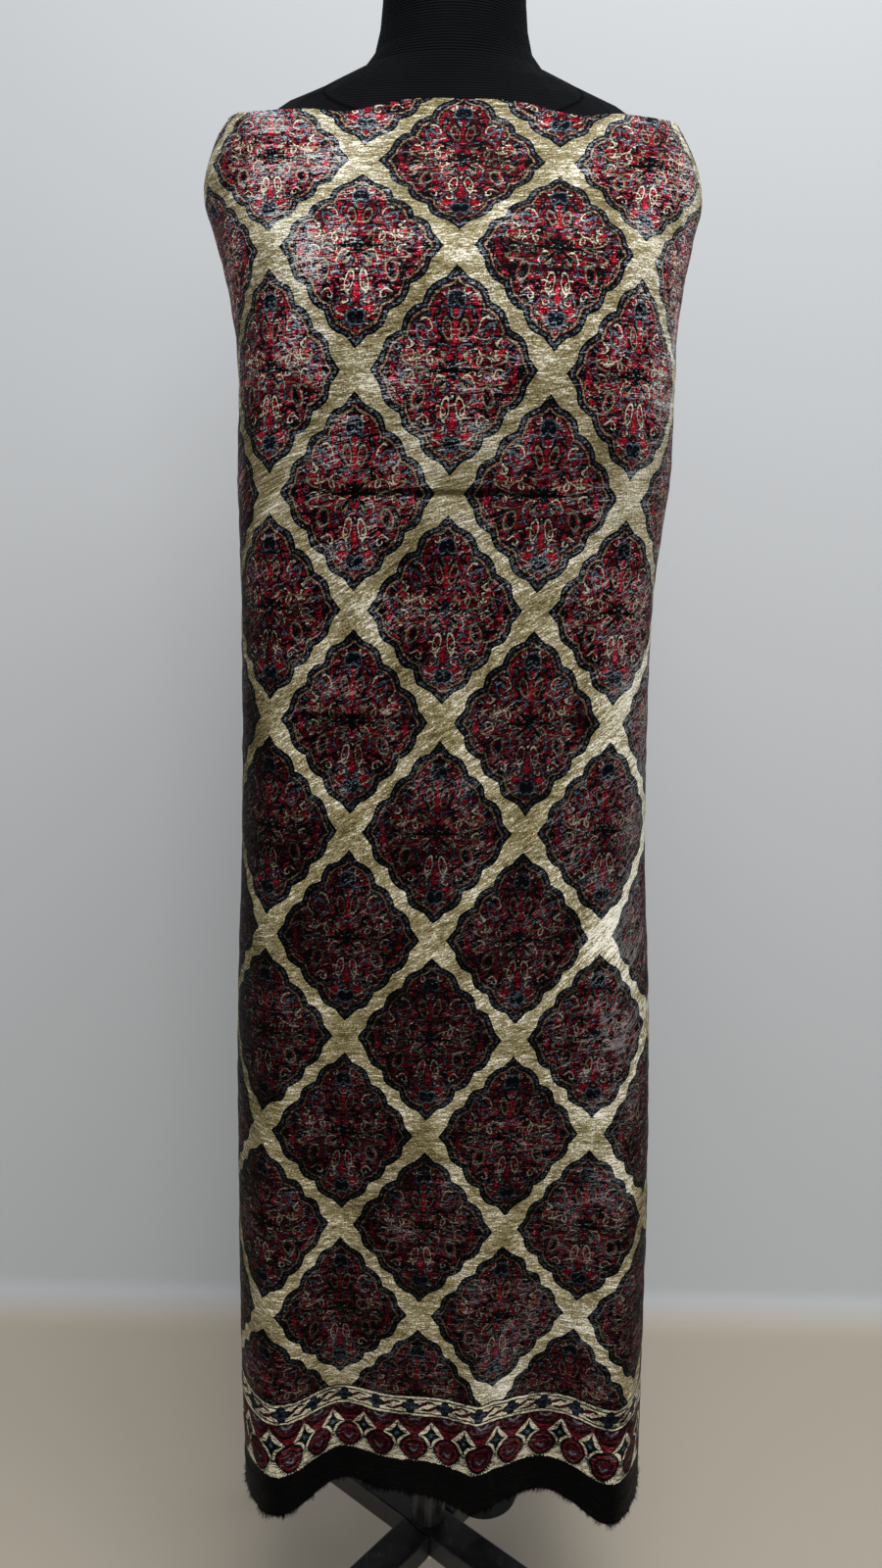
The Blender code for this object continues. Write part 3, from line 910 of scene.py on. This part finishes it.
        a, b = self.half_width, self.half_height
        slant = math.hypot(a, b)
        shape = add("Math.MULTIPLY_ADD", tall, 1 / b, add("Math.MULTIPLY", side, 1 / a))
        edge = add("Math.MULTIPLY_ADD", shape, -a * b / slant, a * b / slant)
        run = add("Math.MULTIPLY_ADD", side, a / slant, b * b / slant)
        run = add("Math.MULTIPLY_ADD", tall, -b / slant, run)
        phase = add("Math.SUBTRACT", run, self.lobe_start)
        wave = add("Math.SINE", add("Math.MULTIPLY", phase, math.pi / self.lobe))
        wave = add("Math.ABSOLUTE", wave)
        from_end = add("Math.MINIMUM", run, add("Math.SUBTRACT", slant, run))
        inside_ends = add("Math.GREATER_THAN", from_end, self.lobe_start)
        lobes = add("Math.MULTIPLY", wave, add("Math.MULTIPLY", inside_ends, self.lobe_rise))
        middle = add("Math.SINE", add("Math.MULTIPLY", run, math.pi / slant))
        bulge = add("Math.MULTIPLY_ADD", middle, self.middle_bulge, lobes)
        inset = add("Math.ADD", edge, bulge)

        cell = add("CombineXYZ", side, signed, 0.0)
        colour = self.arabesque(cell)
        colour = self.stamp(cell, colour)
        grain = add("TexNoise", cell, Scale=0.42, Detail=2.0)
        ragged = add("Math.MULTIPLY_ADD", grain, self.edge_ragged, inset)
        speck = add("MapRange", grain, *self.edge_speck)
        band = add("MixRGB", speck, Tint.NAVY, Tint.BLUE_GREY)
        colour = self.paint(
            colour,
            [
                (ragged, 9.4, Tint.BLACK),
                (ragged, 8.6, Tint.CREAM_SHADE),
                (ragged, 7.4, Tint.RED_DEEP),
                (inset, 4.6, Tint.BLACK),
                (inset, 3.5, band),
                (inset, 1.5, Tint.BLACK),
            ],
        )
        return colour, inset

    def arabesque(self, cell: Any) -> Any:
        """The tangle of curling vines that fills a medallion, mirrored about its upright axis.

        Args:
            cell: Millimetres from the medallion's middle, mirrored.

        Returns:
            Its colour.
        """
        add = self.desk.add
        warp = add("TexNoise", cell, Scale=self.bend_scale, Detail=1.0, out="Color")
        shift = add("VectorMath.MULTIPLY_ADD", warp, (self.bend,) * 3, (-self.bend / 2,) * 3)
        bent = add("VectorMath.ADD", cell, shift)
        broad = add("TexNoise", bent, Scale=0.10, Detail=2.0)
        bright = add("MapRange", broad, 0.40, 0.60, 0.0, 1.0)
        red = add("MixRGB", bright, Tint.RED_DEEP, Tint.RED_BRIGHT)
        clump = add("TexNoise", bent, Scale=0.17, Detail=2.0, Distortion=1.2)
        colour = add("MixRGB", add("Math.GREATER_THAN", clump, self.black_from), red, Tint.BLACK)
        broken = add("TexNoise", cell, Scale=0.34, Detail=1.0)
        for scroll in self.scrolls:
            moved = add("VectorMath.ADD", bent, (scroll.offset, scroll.offset, 0.0))
            near = add(
                "TexVoronoi",
                moved,
                Scale=1 / scroll.spacing,
                Randomness=0.8,
                voronoi_dimensions="2D",
                out="Position",
            )
            chance = add("SeparateXYZ", near.node.outputs["Color"])
            local = add("VectorMath.SUBTRACT", moved, near)
            parts = add("SeparateXYZ", local).node.outputs
            reach = add("VectorMath.LENGTH", local, out="Value")
            turn = add("Math.ARCTAN2", parts[1], parts[0])
            winding = add("Math.MULTIPLY", reach, 1 / scroll.pitch)
            winding = add("Math.MULTIPLY_ADD", turn, 1 / (2 * math.pi), winding)
            curl = add("Math.PINGPONG", winding, 0.5)
            level = add("Math.SUBTRACT", curl, self.curl_ragged / 2)
            ragged = add("Math.MULTIPLY_ADD", broken, self.curl_ragged, level)
            cream = add("Math.GREATER_THAN", chance, self.cream_from)
            pale = add("MixRGB", cream, Tint.BLUE_GREY, Tint.CREAM)
            dye = add("MixRGB", add("Math.GREATER_THAN", chance, self.pale_from), Tint.NAVY, pale)
            width = scroll.line / scroll.pitch
            lines = [(ragged, width * self.curl_shadow, Tint.BLACK), (ragged, width, dye)]
            colour = self.paint(colour, lines)
        return colour

    def stamp(self, cell: Any, colour: Any) -> Any:
        """Prints the block's set shapes in order.

        Args:
            cell: Millimetres from the medallion's middle, mirrored.
            colour: What lies under them.

        Returns:
            The colour with the shapes.
        """
        for stamp in self.stamps:
            halves = (stamp.half_width, stamp.half_height)
            value = self.reach(cell, (stamp.across, stamp.up), halves, stamp.turn)
            limit = 1.0
            if stamp.line:
                value = self.desk.add("Math.ABSOLUTE", self.desk.add("Math.SUBTRACT", value, 1.0))
                limit = stamp.line / math.sqrt(stamp.half_width * stamp.half_height)
            colour = self.paint(colour, [(value, limit, stamp.dye)])
        return colour

    def border(self, across: Any, up: Any) -> Any:
        """The border: palmettes, stars and festoons on cream and red, under a vine band.

        Args:
            across: Millimetres from the middle column.
            up: Millimetres above the hem.

        Returns:
            Its colour.
        """
        add = self.desk.add
        half = self.border_pitch / 2
        side = add("Math.PINGPONG", across, half)
        from_star = add("Math.SUBTRACT", half, side)
        star_up = add("Math.ABSOLUTE", add("Math.SUBTRACT", up, self.star_level))
        wide, high = self.star_kite
        kite = add("Math.MULTIPLY", star_up, 1 / high)
        kite = add("Math.MULTIPLY_ADD", from_star, 1 / wide, kite)
        wide, high = self.star_arms
        arms = add("Math.SQRT", add("Math.MULTIPLY", from_star, 1 / wide))
        arms = add("Math.ADD", arms, add("Math.SQRT", add("Math.MULTIPLY", star_up, 1 / high)))
        drop = add("Math.MAXIMUM", add("Math.SUBTRACT", self.pinch_level, up), 0.0)
        pinch = add("Math.MULTIPLY", side, add("Math.MULTIPLY_ADD", drop, self.pinch_rate, 1.0))

        reaches = []
        for x, level, halves in (
            (from_star, self.star_level, self.star_pip),
            (side, self.festoon_level, self.festoon_half),
            (pinch, self.palmette_level, self.palmette_half),
        ):
            point = add("CombineXYZ", x, up, 0.0)
            reaches.append(self.reach(point, (0.0, level), halves))
        pip, festoon, palmette = reaches

        turn = add("Math.ARCTAN2", side, add("Math.SUBTRACT", up, self.pinch_level))
        comb = add("Math.SINE", add("Math.MULTIPLY", turn, self.teeth))
        smooth = add("Math.LESS_THAN", comb, 0.0)
        high_up = add("Math.GREATER_THAN", up, self.teeth_top)
        comb = add("Math.ADD", palmette, add("Math.MAXIMUM", smooth, high_up))
        stroke = add("Math.SUBTRACT", up, self.stroke_level)
        stroke = add("Math.ABSOLUTE", add("Math.MULTIPLY_ADD", side, -self.stroke_slope, stroke))
        stroke_end = add("Math.MULTIPLY", side, self.stroke_width / self.stroke_reach)
        stroke = add("Math.MAXIMUM", stroke, stroke_end)
        below_red = add("Math.SUBTRACT", self.red_level, up)
        colour = self.paint(
            Tint.CREAM,
            [
                (below_red, 0.0, Tint.RED_DEEP),
                (kite, 1.34, Tint.BLACK),
                (kite, 1.22, Tint.CREAM),
                (arms, 1.34, Tint.BLACK),
                (pip, 1.0, Tint.TEAL),
                (festoon, 1.04, Tint.BLACK),
                (festoon, 0.88, Tint.RED_BROWN),
                (festoon, 0.66, Tint.BLACK),
                (festoon, 0.56, Tint.RED_BROWN),
                (festoon, 0.40, Tint.BLUE_GREY),
                (festoon, 0.26, Tint.RED_BROWN),
                (comb, 1.24, Tint.BLACK),
                (palmette, 1.06, Tint.BLACK),
                (palmette, 0.84, Tint.RED_DEEP),
                (palmette, 0.64, Tint.BLACK),
                (palmette, 0.48, Tint.RED_BROWN),
                (stroke, 1.2, Tint.BLUE_GREY),
            ],
        )
        return self.vine_band(across, up, colour)

    def vine_band(self, across: Any, up: Any, colour: Any) -> Any:
        """The band of four-petalled flowers and curved leaves between two lines.

        Args:
            across: Millimetres from the middle column.
            up: Millimetres above the hem.
            colour: What lies under it.

        Returns:
            The colour with the band.
        """
        add = self.desk.add
        depth = add("Math.SUBTRACT", self.chain_top, up)
        lines = (
            (23.0, Tint.BLACK),
            (21.6, Tint.CREAM),
            (19.6, Tint.BLACK),
            (18.2, Tint.CREAM),
            (5.2, Tint.BLACK),
            (3.8, Tint.CREAM),
            (1.6, Tint.BLACK),
        )
        colour = self.paint(colour, [(depth, limit, dye) for limit, dye in lines])
        half = self.border_pitch / 2
        shifted = add("Math.ADD", across, self.vine_shift)
        along = add("Math.WRAP", shifted, half, -half)
        level = add("Math.SUBTRACT", up, self.vine_level)
        point = add("CombineXYZ", along, level, 0.0)
        for x, y, wide, high, slope, dye in (
            (11.0, 2.0, 6.4, 1.7, 30.0, Tint.RED_BROWN),
            (-11.0, -2.0, 6.4, 1.7, 30.0, Tint.RED_BROWN),
            (13.0, -4.0, 4.2, 1.2, -14.0, Tint.BLACK),
            (-13.0, 4.0, 4.2, 1.2, -14.0, Tint.BLACK),
        ):
            leaf = self.reach(point, (x, y), (wide, high), slope)
            colour = self.paint(colour, [(leaf, 1.0, dye)])
        reach = add("VectorMath.LENGTH", point, out="Value")
        turn = add("Math.ARCTAN2", level, along)
        petal = add("Math.ABSOLUTE", add("Math.COSINE", add("Math.MULTIPLY", turn, 2.0)))
        limit = add("Math.MULTIPLY_ADD", petal, self.petal_more, self.petal_least)
        ratio = add("Math.DIVIDE", reach, limit)
        return self.paint(
            colour,
            [(ratio, 1.0, Tint.BLACK), (ratio, 0.80, Tint.NAVY_SOFT), (ratio, 0.30, Tint.BLACK)],
        )

    def black_edge(self, place: Any, up: Any, colour: Any) -> Any:
        """The dyed black strip at the hem, with a ragged top.

        Args:
            place: Millimetres on the cloth.
            up: Millimetres above the hem, shaken.
            colour: What lies above it.

        Returns:
            The colour with the strip.
        """
        add = self.desk.add
        ragged = add("TexNoise", place, Scale=0.5, Detail=2.0)
        height = add("Math.MULTIPLY_ADD", ragged, -self.black_ragged, up)
        return self.paint(colour, [(height, self.black_top, Tint.BLACK)])


@dataclass(frozen=True)
class EdgePile:
    """Loose pile and cut threads along one edge of the cloth, as fine tapered strands."""

    name: str
    strands: int
    shortest: float
    longest: float
    rise: float
    thickness: float = 0.00030
    spread: float = 0.38
    outward: float = 0.2
    root_depth: float = 0.0003
    least_full: float = 0.3
    uneven: Pair = (0.5, 1.2)
    clump: float = 90.0
    seed: int = 11

    def build(
        self, line: list[Vector], wall: float, material: bpy.types.Material
    ) -> bpy.types.Object:
        """Sows the strands along an edge.

        Args:
            line: The edge, on the cloth's inner face.
            wall: The cloth's thickness.
            material: Their finish.

        Returns:
            All strands as one piece.
        """
        dice = random.Random(self.seed)
        net = bmesh.new()
        for _ in range(self.strands):
            place = dice.random() * (len(line) - 1)
            index = min(int(place), len(line) - 2)
            root = line[index].lerp(line[index + 1], place - index)
            away = Vector((root.x, root.y, 0.0)).normalized()
            root = root + away * dice.uniform(0.0, wall)
            full = abs(noise.noise(root * self.clump)) + self.least_full
            share = full * dice.uniform(*self.uneven)
            length = self.shortest + (self.longest - self.shortest) * share
            aim = Vector((dice.gauss(0, self.spread), dice.gauss(0, self.spread), self.rise))
            aim = (aim + away * self.outward).normalized()
            turn = Vector((0.0, 0.0, 1.0)).rotation_difference(aim).to_matrix().to_4x4()
            bmesh.ops.create_cone(
                net,
                segments=3,
                radius1=self.thickness,
                radius2=0.0,
                depth=length,
                cap_ends=True,
                matrix=Matrix.Translation(root + aim * (length / 2 - self.root_depth)) @ turn,
            )
        return set_down(net, self.name, material)


def black_pile() -> bpy.types.Material:
    """Dyed black pile, matt, a little lighter along some strands.

    Returns:
        The material.
    """
    desk = NodeDesk.open("velvet_pile_black")
    place = desk.add("TexCoord", out="Object")
    cloud = desk.add("TexNoise", place, Scale=240.0, Detail=1.0)
    colour = desk.add("MixRGB", cloud, Tint.BLACK, Tint.BLACK_NAP)
    return desk.finish(Base_Color=colour, Roughness=0.9, Specular_IOR_Level=0.03)


def jersey(name: str, rib_depth: float) -> bpy.types.Material:
    """Knitted jersey stretched over a shell, dull black, with a welt where neck and body meet.

    Args:
        name: The finish's name.
        rib_depth: Height of the level ribs in metres, 0 for smooth jersey.

    Returns:
        The material.
    """
    rib_pitch, seam_height, seam_slope = 1.9, 1441.0, 0.828
    seam_half, welt_half, welt_height, lint_height = 0.8, 3.4, 3.0, 0.6
    desk = NodeDesk.open(name)
    add = desk.add
    place = add("TexCoord", out="Object")
    millimetres = add("VectorMath.SCALE", place, Scale=1000.0)
    parts = add("SeparateXYZ", millimetres).node.outputs
    wave = add("Math.SINE", add("Math.MULTIPLY", parts[2], 2 * math.pi / rib_pitch))
    worn = add("TexNoise", millimetres, Scale=0.02, Detail=3.0)
    # colour: random tone from the worn noise, and on the ribbed neck painted highlight and shade
    # across the ribs
    rib = 0.25 if rib_depth else 0.0
    mask = add("Math.MULTIPLY_ADD", wave, rib, worn)
    shade = add("MapRange", mask, 0.3, 0.75, 0.0, 1.0)
    colour = add("MixRGB", shade, Tint.JERSEY, Tint.JERSEY_LIGHT)
    above = add("Math.SUBTRACT", parts[2], seam_height)
    seam = add("Math.ABSOLUTE", add("Math.MULTIPLY_ADD", parts[1], -seam_slope, above))
    colour = add("MixRGB", add("Math.LESS_THAN", seam, seam_half), colour, Tint.BLACK)
    fade = Ramp(seam_half, welt_half, welt_height, 0.0)
    welt = add("MapRange", seam, *fade, interpolation_type="SMOOTHSTEP")
    lint = add("TexNoise", millimetres, Scale=0.9, Detail=2.0, Roughness=0.6)
    height = add("Math.ADD", welt, add("Math.MULTIPLY", lint, lint_height))
    if rib_depth:
        height = add("Math.ADD", height, wave)
    bump = add("Bump", Strength=0.7, Distance=max(rib_depth, 0.0002), Height=height)
    return desk.finish(Base_Color=colour, Roughness=0.85, Normal=bump, Specular_IOR_Level=0.05)


def painted_steel() -> bpy.types.Material:
    """Bar steel in semi-gloss black paint, scuffed grey in scratches and rubbed patches.

    Returns:
        The material.
    """
    desk = NodeDesk.open("steel_painted_black_scuffed")
    add = desk.add
    place = add("TexCoord", out="Object")
    millimetres = add("VectorMath.SCALE", place, Scale=1000.0)
    drawn = add("VectorMath.MULTIPLY", millimetres, (0.9, 0.05, 0.3))
    scratch = add("TexNoise", drawn, Scale=1.0, Detail=4.0, Roughness=0.7)
    patch = add("TexNoise", millimetres, Scale=0.045, Detail=5.0, Roughness=0.65)
    scratched = add("MapRange", scratch, 0.58, 0.72, 0.0, 1.0)
    rubbed = add("MapRange", patch, 0.48, 0.62, 0.0, 1.0)
    worn = add("Math.MULTIPLY", scratched, rubbed)
    dusty = add("MapRange", patch, 0.45, 0.75, 0.0, 0.5)
    colour = add("MixRGB", dusty, Tint.PAINT, Tint.SCUFF)
    colour = add("MixRGB", worn, colour, Tint.PAINT_WORN)
    rough = add("MapRange", patch, 0.3, 0.7, 0.26, 0.5)
    bump = add("Bump", Strength=0.3, Distance=0.0003, Height=patch)
    return desk.finish(Base_Color=colour, Roughness=rough, Normal=bump, Specular_IOR_Level=0.6)


def moulded(name: str, base: Tint, marked: Tint, roughness: float) -> bpy.types.Material:
    """Moulded plastic or rubber with light scuffs.

    Args:
        name: The finish's name.
        base: Its colour.
        marked: The colour of its scuffs.
        roughness: How dull it is.

    Returns:
        The material.
    """
    desk = NodeDesk.open(name)
    add = desk.add
    place = add("TexCoord", out="Object")
    millimetres = add("VectorMath.SCALE", place, Scale=1000.0)
    scuff = add("TexNoise", millimetres, Scale=0.12, Detail=5.0, Roughness=0.7)
    colour = add("MixRGB", add("MapRange", scuff, 0.52, 0.75, 0.0, 0.7), base, marked)
    grain = add("TexNoise", millimetres, Scale=2.0, Detail=2.0)
    bump = add("Bump", Strength=0.25, Distance=0.0002, Height=grain)
    return desk.finish(Base_Color=colour, Roughness=roughness, Normal=bump)


def dress_solids() -> None:
    """Gives every carried-over solid its finish."""
    body = jersey("jersey_black_smooth", 0.0)
    neck = jersey("jersey_black_ribbed", 0.0004)
    steel = painted_steel()
    rubber = moulded("rubber_black", Tint.RUBBER, Tint.SCUFF, 0.85)
    knob = moulded("phenolic_black", Tint.BLACK_NAP, Tint.SCUFF, 0.4)
    plug = moulded("polyethylene_cream", Tint.PLUG, Tint.CREAM_SHADE, 0.5)
    finishes = {
        "form_body": body,
        "form_neck": neck,
        "clamp_knob": knob,
        "pole_plug": plug,
    }
    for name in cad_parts:
        if name == "velvet_cloth":
            continue
        finish = finishes.get(name, rubber if name.startswith("foot_pad") else steel)
        solid = bpy.data.objects[name]
        solid.data.materials.clear()
        solid.data.materials.append(finish)


class Lamp(NamedTuple):
    """One soft square light: where it hangs, its side and its power."""

    name: str
    place: Triple
    size: float
    watts: float


@dataclass
class Studio:
    """A pale floor that curves up into a plain wall, soft lights and the camera."""

    wall_distance: float = 0.47
    wall_height: float = 2.6
    half_width: float = 2.6
    front: float = 3.2
    sweep_radius: float = 0.05
    sweep_steps: int = 10
    floor_fade: Ramp = Ramp(0.002, 0.03, 0.0, 1.0)
    lamps: tuple[Lamp, ...] = (
        Lamp("ceiling", (0.35, -0.9, 2.75), 1.5, 37.0),
        Lamp("front", (0.25, -2.6, 1.9), 1.2, 18.0),
    )
    lamp_aim: Triple = (0.0, 0.0, 0.9)
    sky: Quad = (0.93, 0.96, 1.0, 1.0)
    sky_strength: float = 0.36
    lens: float = 27.18
    sensor: float = 36.0
    camera_height: float = 1.11
    camera_distance: float = 1.0
    pitch: float = 13.0
    roll: float = 1.0

    def build(self) -> None:
        """Sets the stage, the lights and the camera."""
        self.backdrop()
        for lamp in self.lamps:
            self.light(lamp)
        world = bpy.data.worlds.new("room")
        world.use_nodes = True
        background = world.node_tree.nodes["Background"]
        background.inputs["Color"].default_value = self.sky
        background.inputs["Strength"].default_value = self.sky_strength
        bpy.context.scene.world = world
        bpy.context.scene.view_settings.view_transform = "Standard"
        self.camera()

    def backdrop(self) -> None:
        """Floor and wall as one bent sheet."""
        profile = [(-self.front, 0.0), (self.wall_distance - self.sweep_radius, 0.0)]
        for index in range(1, self.sweep_steps + 1):
            angle = math.pi / 2 * index / self.sweep_steps
            profile.append(
                (
                    self.wall_distance - self.sweep_radius * (1 - math.sin(angle)),
                    self.sweep_radius * (1 - math.cos(angle)),
                )
            )
        profile.append((self.wall_distance, self.wall_height))
        net = bmesh.new()
        line = [net.verts.new((-self.half_width, y, z)) for y, z in profile]
        edges = [net.edges.new(pair) for pair in zip(line, line[1:])]
        grown = bmesh.ops.extrude_edge_only(net, edges=edges)["geom"]
        moved = [item for item in grown if isinstance(item, bmesh.types.BMVert)]
        bmesh.ops.translate(net, vec=(2 * self.half_width, 0.0, 0.0), verts=moved)
        bmesh.ops.recalc_face_normals(net, faces=net.faces)
        desk = NodeDesk.open("backdrop_paper")
        place = desk.add("TexCoord", out="Object")
        height = desk.add("SeparateXYZ", place, out=2)
        rise = desk.add("MapRange", height, *self.floor_fade)
        colour = desk.add("MixRGB", rise, Tint.FLOOR, Tint.WALL)
        paper = desk.finish(Base_Color=colour, Roughness=0.9)
        set_down(net, "backdrop", paper, smooth=True)

    def light(self, lamp: Lamp) -> None:
        """Hangs one light.

        Args:
            lamp: Its name, place, size and power.
        """
        data = bpy.data.lights.new(lamp.name, "AREA")
        data.size = lamp.size
        data.energy = lamp.watts
        thing = bpy.data.objects.new(lamp.name, data)
        thing.location = lamp.place
        way = Vector(self.lamp_aim) - Vector(lamp.place)
        thing.rotation_euler = way.to_track_quat("-Z", "Y").to_euler()
        bpy.context.scene.collection.objects.link(thing)

    def camera(self) -> None:
        """Stands the camera where the photograph was taken."""
        data = bpy.data.cameras.new("camera")
        data.lens = self.lens
        data.sensor_width = self.sensor
        thing = bpy.data.objects.new("camera", data)
        tilt = Matrix.Rotation(math.radians(90 - self.pitch), 4, "X")
        roll = Matrix.Rotation(math.radians(self.roll), 4, "Z")
        place = Matrix.Translation((0.0, -self.camera_distance, self.camera_height))
        thing.matrix_world = place @ tilt @ roll
        bpy.context.scene.collection.objects.link(thing)
        bpy.context.scene.camera = thing


def main() -> None:
    """Builds every piece in order."""
    logging.basicConfig(level=logging.INFO, format="%(message)s")
    velvet = HangingVelvet()
    cloth = velvet.build(AjrakhPrint().make())
    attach(cloth, BODY)
    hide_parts("velvet_cloth")
    LOG.info("velvet laid")

    black = black_pile()
    piles = [
        EdgePile("hem_pile", 7600, 0.0012, 0.0090, -1.0).build(velvet.hem, velvet.thickness, black),
        EdgePile("top_pile", 1500, 0.0008, 0.0030, 1.0).build(velvet.top, velvet.thickness, black),
    ]
    for pile in piles:
        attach(pile, BODY)
    LOG.info("edge piles sown")

    dress_solids()
    LOG.info("form and stand finished")
    Studio().build()


if __name__ == "__main__":
    main()
